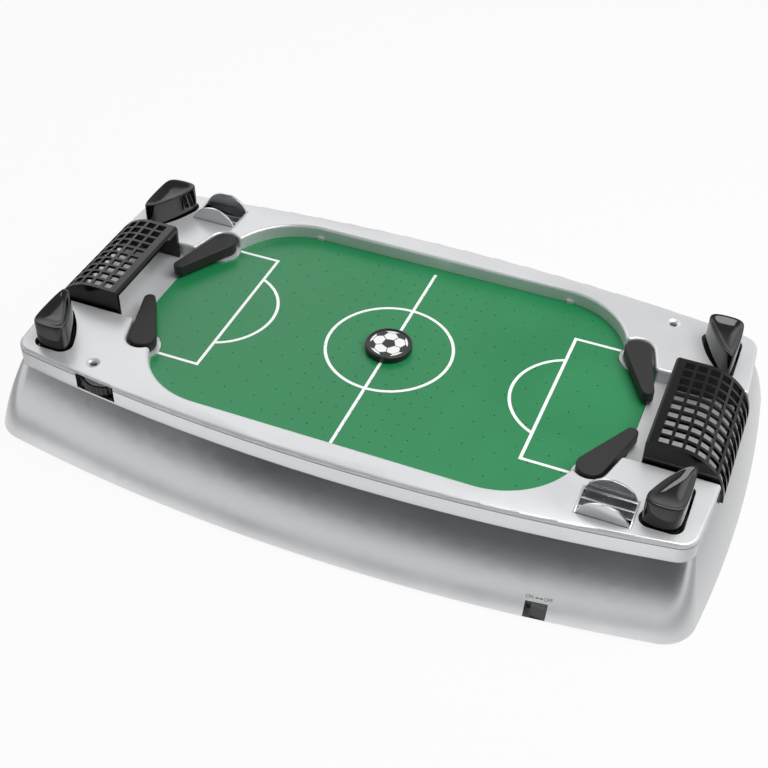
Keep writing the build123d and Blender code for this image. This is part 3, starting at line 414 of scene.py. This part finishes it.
# Full green under a satin lacquer, which turns paler where it mirrors the window
pitch = surface("screen_printed_satin_board", pitch_print, 0.33, 0.6, 0.004, {"IOR": 1.5})
print("pitch lines drawn by", len(pitch.node_tree.nodes), "nodes")

# %% [markdown]
# ## Football on the puck
#
# The puck carries a printed football: white panels on black. A ball is a truncated icosahedron, so the
# panel at a point is the face whose direction is nearest to it. Five-fold symmetry folds the disc onto a
# tenth, where one white panel, its outer neighbour and two black ones are all that need comparing.

# %% Football on the puck
PUCK_CENTRE = (-0.0025, 0.005, 0.0)
BALL_RADIUS = 0.0134
BALL_TURN = radians(28 - 36)
BALL_EDGE = 0.985
SEAM = 0.022
PANEL_WHITE = "#F0F0EE"
# Distance of a panel's plane from the middle of a ball of radius one
PENTAGON_DEPTH = 0.9393
HEXAGON_DEPTH = 0.9149
# Tilt of each panel from the middle one, its turn in degrees, and its depth
BALL_PANELS = [
    (0, 0, PENTAGON_DEPTH),
    (63.43, 0, PENTAGON_DEPTH),
    (37.38, 36, HEXAGON_DEPTH),
    (79.19, 36, HEXAGON_DEPTH),
]


def panel(tilt, turn, depth):
    """Direction of a panel, divided by the distance of its plane from the ball's middle."""
    a, b = radians(tilt), radians(turn)
    return (sin(a) * cos(b) / depth, sin(a) * sin(b) / depth, cos(a) / depth)


def football_print(tree, place, grain, drift):
    """Paint rule for white football panels on black."""
    flat = add(tree, "VectorMath", {0: place, 1: PUCK_CENTRE}, operation="SUBTRACT")
    in_balls = (1 / BALL_RADIUS, 1 / BALL_RADIUS, 0)
    disc = add(tree, "VectorMath", {0: flat, 1: in_balls}, operation="MULTIPLY")
    x = add(tree, "SeparateXYZ", {0: disc}, out="X")
    y = x.node.outputs["Y"]
    radius = add(tree, "VectorMath", {0: disc}, out="Value", operation="LENGTH")
    square = add(tree, "Math", {0: radius, 1: radius}, operation="MULTIPLY")
    left_over = add(tree, "Math", {0: 1.0, 1: square}, operation="SUBTRACT", use_clamp=True)
    height = add(tree, "Math", {0: left_over}, operation="SQRT")
    # The place on the ball, folded onto a tenth of it
    angle = add(tree, "Math", {0: y, 1: x}, operation="ARCTAN2")
    turned = add(tree, "Math", {0: angle, 1: BALL_TURN}, operation="SUBTRACT")
    tenth = add(tree, "Math", {0: turned, 1: pi / 5}, operation="PINGPONG")
    cosine = add(tree, "Math", {0: tenth}, operation="COSINE")
    sine = add(tree, "Math", {0: tenth}, operation="SINE")
    across = add(tree, "Math", {0: cosine, 1: radius}, operation="MULTIPLY")
    aside = add(tree, "Math", {0: sine, 1: radius}, operation="MULTIPLY")
    on_ball = add(tree, "CombineXYZ", {"X": across, "Y": aside, "Z": height})
    near = [
        add(tree, "VectorMath", {0: on_ball, 1: panel(*each)}, out="Value", operation="DOT_PRODUCT")
        for each in BALL_PANELS
    ]
    # A white panel shows where it leads all others by more than a seam
    black = add(tree, "Math", {0: near[0], 1: near[1]}, operation="MAXIMUM")
    white = 0.0
    for mine, other in ((near[2], near[3]), (near[3], near[2])):
        rival = add(tree, "Math", {0: black, 1: other}, operation="MAXIMUM")
        lead = add(tree, "Math", {0: mine, 1: rival}, operation="SUBTRACT")
        inside = add(tree, "Math", {0: lead, 1: aside}, operation="MINIMUM")
        shown = add(tree, "Math", {0: inside, 1: SEAM}, operation="GREATER_THAN")
        white = add(tree, "Math", {0: white, 1: shown}, operation="MAXIMUM")
    on_disc = add(tree, "Math", {0: radius, 1: BALL_EDGE}, operation="LESS_THAN")
    white = add(tree, "Math", {0: white, 1: on_disc}, operation="MULTIPLY")
    ink = two_tone("#1D1C1C", "#262524")(tree, place, grain, drift)
    return add(tree, "Mix", {0: white, 6: ink, 7: linear(PANEL_WHITE)}, out=2, data_type="RGBA")


# Clean white and near black under one satin sheen
football = surface("pad_printed_puck_plastic", football_print, 0.35, 0.5, 0.004, PLASTIC)
print("football drawn by", len(football.node_tree.nodes), "nodes")

# %% [markdown]
# ## Dressing the solids
#
# The record names a material slot for every solid. Each slot gets one of the finishes above, and the
# solids themselves stay as they are. A table from slot to finish keeps that in one place.

# %% Dressing the solids
finishes = {
    "silver_plastic": silver,
    "deck_silver": deck_silver,
    "rack_silver": rack_silver,
    "door_silver": silver,
    "pitch_print": pitch,
    "inner_plastic": raw_grey,
    "gear_plastic": acetal,
    "goal_black": net_black,
    "button_black": gloss_black,
    "flipper_grey": flipper_grey,
    "wheel_plastic": wheel_black,
    "puck_print": football,
    "switch_black": switch_black,
    "steel": plated,
    "spring_steel": spring,
    "rubber": rubber,
}
for node, slot in slot_of.items():
    nodes[node].material_slots[0].material = finishes[slot]
print("finishes in use:", len(finishes))

# %% [markdown]
# ## Modelling helpers
#
# The pieces below are modelled by the same few moves as by hand: select, join, apply the place, turn a
# copy. Each move has a name here, so that a piece reads as a short recipe.


# %% Modelling helpers
def choose(*pieces):
    """Selects these pieces alone and makes the first one active."""
    bpy.ops.object.select_all(action="DESELECT")
    for piece in pieces:
        piece.select_set(True)
    bpy.context.view_layer.objects.active = pieces[0]


def settle():
    """Writes the place, turn and scale of the selected piece into its mesh."""
    bpy.ops.object.transform_apply(location=True, rotation=True, scale=True)


def edit_all():
    """Opens the active piece for editing with everything selected."""
    bpy.ops.object.mode_set(mode="EDIT")
    bpy.ops.mesh.select_all(action="SELECT")


def close_edit():
    """Ends editing."""
    bpy.ops.object.mode_set(mode="OBJECT")


def turn_outwards():
    """Makes all faces of the active piece point outwards."""
    edit_all()
    bpy.ops.mesh.normals_make_consistent(inside=False)
    close_edit()


def joined(pieces, name):
    """One piece made of several."""
    choose(*pieces)
    bpy.ops.object.join()
    whole = bpy.context.object
    whole.name = name
    return whole


def half_turn_copy(piece, name):
    """A copy turned by half a turn about the middle of the game."""
    choose(piece)
    bpy.ops.object.duplicate()
    copy = bpy.context.object
    copy.name = name
    bpy.ops.transform.rotate(value=pi, orient_axis="Z", center_override=(0, 0, 0))
    settle()
    return copy


def lettering(words, size, place, rotation):
    """Centred text as a mesh."""
    bpy.ops.object.text_add(location=place, rotation=rotation)
    text = bpy.context.object
    text.data.body = words
    text.data.size = size
    text.data.align_x = "CENTER"
    text.data.align_y = "CENTER"
    bpy.ops.object.convert(target="MESH")
    settle()
    return text


print("helpers ready")

# %% [markdown]
# ## Softened edges
#
# No moulded edge is quite sharp: it is rounded by a few tenths of a millimetre, and that thin round
# catches the light. A solid model leaves it out. Here a copy of a solid is merged, its flat faces are
# joined again, and a bevel modifier rounds every sharp edge. Weighted normals then keep flats flat. The
# deck has its round already, so its copy is only shaded across it.

# %% Softened edges
MERGE = 0.000002
FLAT = radians(0.3)
SHARP = radians(38)
DECK_SHARP = radians(60)
EDGE_STEPS = 3
EDGE_MM = {"goal_right": 0.45, "goal_left": 0.45, "puck_rack_front": 0.25, "puck_rack_back": 0.25}


def merged_copy(node, name):
    """A copy of a solid whose loose triangles are joined into one skin."""
    choose(nodes[node])
    bpy.ops.object.duplicate()
    copy = bpy.context.object
    copy.name = name
    del copy["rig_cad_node"]
    bpy.ops.mesh.customdata_custom_splitnormals_clear()
    edit_all()
    bpy.ops.mesh.remove_doubles(threshold=MERGE)
    close_edit()
    return copy


def round_edges(copy, edge_mm, sharp):
    """Joins the flat faces of a copy and rounds the sharp edges between them."""
    edit_all()
    bpy.ops.mesh.dissolve_limited(angle_limit=FLAT)
    close_edit()
    bevel = copy.modifiers.new("edges", "BEVEL")
    bevel.width = edge_mm / 1000
    bevel.segments = EDGE_STEPS
    bevel.limit_method = "ANGLE"
    bevel.angle_limit = sharp
    bpy.ops.object.modifier_apply(modifier="edges")


def soften(node, body, edge_mm, sharp):
    """Puts a copy with rounded edges in the place of a solid."""
    copy = merged_copy(node, node + "_soft")
    if edge_mm:
        round_edges(copy, edge_mm, sharp)
    bpy.ops.object.shade_smooth_by_angle(angle=sharp)
    even = copy.modifiers.new("even", "WEIGHTED_NORMAL")
    even.keep_sharp = True
    bpy.ops.object.modifier_apply(modifier="even")
    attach(copy, body)
    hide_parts(node)
    return len(copy.data.polygons)


print("deck", soften("deck", "game", 0, DECK_SHARP), "faces")
for node, edge_mm in EDGE_MM.items():
    print(node, soften(node, "game", edge_mm, SHARP), "faces")

# %% [markdown]
# ## Rack rails
#
# Each puck rack is edged by thin bright rails: one at the foot of its far cheek and one along either side
# of the slots. A rail is a cube, stretched to its length and rounded by a bevel. They are made for the
# front rack, joined, and turned by half a turn for the back one.

# %% Rack rails
RAIL = 0.0009
SIDE_RAIL = 0.0011
RAIL_LIFT = 0.00015
RAIL_ROUND = RAIL / 4
RAIL_STEPS = 2
RACK_NEAR_Y = -0.1023
RACK_FAR_Y = -0.0787
RACK_CHEEK = 0.0018
SLOT_HALF = 0.0166


def rail(place, size):
    """One rounded rail of the front rack."""
    bpy.ops.mesh.primitive_cube_add(size=1, location=place)
    bar = bpy.context.object
    bar.scale = size
    settle()
    edit_all()
    bpy.ops.mesh.bevel(offset=RAIL_ROUND, segments=RAIL_STEPS, affect="EDGES")
    close_edit()
    return bar


rack_low, rack_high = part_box("puck_rack_front")
rack_x = (rack_low.x + rack_high.x) / 2
rack_y = (RACK_NEAR_Y + RACK_FAR_Y) / 2
rack_depth = RACK_FAR_Y - RACK_NEAR_Y
rail_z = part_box("deck")[1].z + RAIL_LIFT - RAIL / 2
far_y = RACK_FAR_Y - RACK_CHEEK - RAIL / 2
bars = [rail((rack_x, far_y, rail_z), (2 * SLOT_HALF, RAIL, RAIL))]
for side in (-1, 1):
    side_x = rack_x + side * (SLOT_HALF + SIDE_RAIL / 2)
    bars.append(rail((side_x, rack_y, rail_z), (SIDE_RAIL, rack_depth, RAIL)))
front_rails = joined(bars, "rack_rails_front")
front_rails.data.materials.append(rack_silver)
bpy.ops.object.shade_smooth_by_angle(angle=SHARP)
for rails in (front_rails, half_turn_copy(front_rails, "rack_rails_back")):
    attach(rails, "game")
print("rails round the rack at x", round(rack_x, 4), "and its half turn")

# %% [markdown]
# ## Push buttons
#
# A push button is a tall cap of polished black plastic, hollowed like a spoon for the finger, with a soft
# rim. Such a form is easiest from a coarse cage that a subdivision modifier smooths. The cage is a flat
# outline with cut corners, raised into a wall, and its top shrinks in rings that sink into the bowl. The
# stem below the deck is a copy of the solid, cut off where the cap begins.

# %% Button outline
CAP_START = 0.01
CAP_SINK = 0.003
CAP_MIDDLE = (0.2125, 0.0765)
# Place of each corner of the outline, and how much of it is cut
CAP_CORNERS = {
    (-1, 1): (0.1962, 0.0963, 0.0075),
    (1, 1): (0.2234, 0.0963, 0.0075),
    (1, -1): (0.2232, 0.0490, 0.0095),
    (-1, -1): (0.2046, 0.0702, 0.0150),
}
CORNER_STEPS = 2
NEAR = 0.0001


def pick_corner(place):
    """Selects the one corner of the mesh in edit mode that lies at a place."""
    mesh = bmesh.from_edit_mesh(bpy.context.object.data)
    for corner in mesh.verts:
        corner.select_set((corner.co - place).length < NEAR)
    mesh.select_flush_mode()
    bmesh.update_edit_mesh(bpy.context.object.data)


foot_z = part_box("deck")[1].z - CAP_SINK
cap_middle = Vector((*CAP_MIDDLE, foot_z))
bpy.ops.mesh.primitive_plane_add(size=2 * CAP_START, location=cap_middle)
cap = bpy.context.object
settle()
bpy.ops.object.mode_set(mode="EDIT")
bpy.ops.mesh.select_mode(type="VERT")
for (side_x, side_y), (x, y, _) in CAP_CORNERS.items():
    start = cap_middle + CAP_START * Vector((side_x, side_y, 0))
    pick_corner(start)
    bpy.ops.transform.translate(value=Vector((x, y, foot_z)) - start)
for x, y, cut in CAP_CORNERS.values():
    pick_corner(Vector((x, y, foot_z)))
    bpy.ops.mesh.bevel(offset=cut, segments=CORNER_STEPS, affect="VERTICES")
bpy.ops.mesh.select_all(action="SELECT")
close_edit()
print("outline of", len(cap.data.vertices), "corners")

# %% [markdown]
# ### Cap from rings
#
# The outline rises as a wall with a short hold at its foot, narrows over the rim and then sinks in ever
# smaller rings. Extruding and shrinking in turn gives the rings even spacing all the way round, which
# the subdivision needs for a smooth bowl.

# %% Button cap
WALL_HOLD = 0.001
RIM_HEIGHT = 0.0016
CAP_SMOOTHING = 3
button_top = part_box("push_button_back_right")[1].z
wall_height = button_top - foot_z - WALL_HOLD - RIM_HEIGHT
# Rise of each ring above the last one, and how far it shrinks
CAP_RINGS = [
    (WALL_HOLD, 1.0),
    (wall_height, 1.0),
    (RIM_HEIGHT, 0.985),
    (0.0, 0.91),
    (-0.0016, 0.80),
    (-0.0012, 0.70),
    (-0.0006, 0.55),
    (-0.0001, 0.3),
]
bpy.ops.object.mode_set(mode="EDIT")
for rise, shrink in CAP_RINGS:
    bpy.ops.mesh.extrude_region_move(TRANSFORM_OT_translate={"value": (0, 0, rise)})
    bpy.ops.transform.resize(value=(shrink, shrink, 1), center_override=cap_middle)
close_edit()
turn_outwards()
soft = cap.modifiers.new("soft", "SUBSURF")
soft.levels = soft.render_levels = CAP_SMOOTHING
bpy.ops.object.modifier_apply(modifier="soft")
cap.data.materials.append(gloss_black)
cap_top = max(corner.co.z for corner in cap.data.vertices)
print("cap faces:", len(cap.data.polygons), "top at", round(cap_top, 5), "of", round(button_top, 5))

# %% [markdown]
# ### Four buttons
#
# The four buttons are mirror images about the two middle planes. The cap is copied and mirrored by a
# negative scale, after which its faces have to be turned outwards again, and the cut stem is joined on.

# %% Buttons in all four corners
BUTTON_CORNERS = {"back_right": (1, 1), "back_left": (-1, 1), "front_left": (-1, -1), "front_right": (1, -1)}
for corner, (side_x, side_y) in BUTTON_CORNERS.items():
    stem = merged_copy("push_button_" + corner, "stem")
    edit_all()
    bpy.ops.mesh.bisect(plane_co=(0, 0, foot_z), plane_no=(0, 0, 1), use_fill=True, clear_outer=True)
    close_edit()
    choose(cap)
    bpy.ops.object.duplicate()
    top = bpy.context.object
    bpy.ops.transform.resize(value=(side_x, side_y, 1), center_override=(0, 0, 0))
    settle()
    turn_outwards()
    button = joined((top, stem), "finger_button_" + corner)
    bpy.ops.object.shade_smooth_by_angle(angle=SHARP)
    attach(button, "button_" + corner)
    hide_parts("push_button_" + corner)
    print(button.name, len(button.data.polygons), "faces")
bpy.data.objects.remove(cap)

# %% [markdown]
# ## Score dials
#
# Each score wheel carries a white paper dial with the numbers nought to nine, and one number shows
# through the window in the deck. The dial is a flat ring: a circle, extruded inwards and then upwards by
# its thickness. A ring from a boolean cut would need cleaning up afterwards.

# %% Dial ring
DIAL_OUTER = 0.0152
DIAL_INNER = 0.0036
DIAL_CORNERS = 72
DIAL_Z = 0.056
PAPER = 0.00012
joints = {joint["name"]: joint for joint in record["behaviour"]["joints"]}
wheel_axis = joints["score_back"]["pos_m"]
WHEEL = Vector((*wheel_axis[:2], DIAL_Z))

# Plain white card without gloss
card_tones = two_tone("#D9D9D4", "#E6E6E2")
dial_paper = surface("printed_white_dial_card", card_tones, 0.6, 0.2, 0.004, {"IOR": 1.5})

bpy.ops.mesh.primitive_circle_add(vertices=DIAL_CORNERS, radius=DIAL_OUTER, location=WHEEL)
dial = bpy.context.object
dial.name = "score_dial_back"
edit_all()
bpy.ops.mesh.extrude_edges_move()
bpy.ops.transform.resize(value=(DIAL_INNER / DIAL_OUTER, DIAL_INNER / DIAL_OUTER, 1))
bpy.ops.mesh.select_all(action="SELECT")
bpy.ops.mesh.extrude_region_move(TRANSFORM_OT_translate={"value": (0, 0, PAPER)})
close_edit()
turn_outwards()
settle()
dial.data.materials.append(dial_paper)
print("dial ring faces:", len(dial.data.polygons))

# %% [markdown]
# ### Dial numbers
#
# The numbers are printed in black round the dial, each upright when it reaches the window. They are text,
# turned into a mesh and laid just above the card, so that they turn with the wheel.

# %% Dial numbers
NUMBER_HEIGHT = 0.0046
NUMBER_LIFT = 1.5 * PAPER
# Place of the deck's window from the wheel's axis
WINDOW_TURN = atan2(0.8, 9.1)
WINDOW_RADIUS = 0.00914

# Dense black, a little duller than plastic
dial_ink = surface("black_dial_ink", two_tone("#141414", "#1C1C1C"), 0.5, 0.2, 0.002, {"IOR": 1.5})

numbers = []
for value in range(10):
    angle = WINDOW_TURN + 2 * pi * value / 10
    spot = WHEEL + Vector((WINDOW_RADIUS * cos(angle), WINDOW_RADIUS * sin(angle), NUMBER_LIFT))
    number = lettering(str(value), NUMBER_HEIGHT, spot, (0, 0, angle - WINDOW_TURN + pi))
    number.data.materials.append(dial_ink)
    numbers.append(number)
dial_numbers = joined(numbers, "dial_numbers_back")
print("numbers:", len(dial_numbers.data.polygons), "faces")

# %% [markdown]
# ### Dial of the front wheel
#
# The game is the same after half a turn about its middle, so the front wheel's dial is a turned copy.

# %% Dial of the front wheel
for piece, name in ((dial, "score_dial_front"), (dial_numbers, "dial_numbers_front")):
    copy = half_turn_copy(piece, name)
    for owner, body in ((piece, "wheel_back"), (copy, "wheel_front")):
        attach(owner, body)
print("dials ride on both wheels")

# %% [markdown]
# ## Switch marking
#
# Above the slide switch the words ON and OFF and an arrow between them are pad-printed in dark ink. They
# are text and three small flat shapes, made in front of the skirt and then wrapped onto it by a modifier
# that pushes every corner straight back until it meets the skirt.

# %% Switch marking
MARK_PLACE = Vector((0.1536, -0.18, 0.0158))
MARK_HEIGHT = 0.0031
UPRIGHT = pi / 2
WORD_PLACES = {"ON": -0.0058, "OFF": 0.0056}
ARROW_LENGTH = 0.0030
ARROW_WIDTH = 0.0004
ARROW_TIP = 0.0016
ARROW_HEAD = 0.0008
INK_LIFT = 0.00006

# Thin dark grey print, matt on the silver
ink_tones = two_tone("#4A4B4E", "#55565A")
mark_ink = surface("pad_printed_grey_ink", ink_tones, 0.5, 0.2, 0.001, {"IOR": 1.5})

marks = [
    lettering(word, MARK_HEIGHT, MARK_PLACE + Vector((offset, 0, 0)), (UPRIGHT, 0, 0))
    for word, offset in WORD_PLACES.items()
]
bpy.ops.mesh.primitive_plane_add(size=1, location=MARK_PLACE, rotation=(UPRIGHT, 0, 0))
shaft = bpy.context.object
shaft.scale = (ARROW_LENGTH, ARROW_WIDTH, 1)
marks.append(shaft)
for side in (1, -1):
    tip = MARK_PLACE + Vector((side * ARROW_TIP, 0, 0))
    pointing = (UPRIGHT, side * pi / 2, 0)
    bpy.ops.mesh.primitive_circle_add(
        vertices=3, radius=ARROW_HEAD, fill_type="NGON", location=tip, rotation=pointing
    )
    marks.append(bpy.context.object)
switch_marking = joined(marks, "switch_marking")
settle()
switch_marking.data.materials.clear()
switch_marking.data.materials.append(mark_ink)
wrap = switch_marking.modifiers.new("wrap", "SHRINKWRAP")
wrap.target = nodes["lower_housing"]
wrap.wrap_method = "PROJECT"
wrap.use_project_y = True
wrap.use_positive_direction = True
wrap.offset = INK_LIFT
bpy.ops.object.modifier_apply(modifier="wrap")
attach(switch_marking, "game")
print("marking lies at y", round(switch_marking.data.vertices[0].co.y, 4))
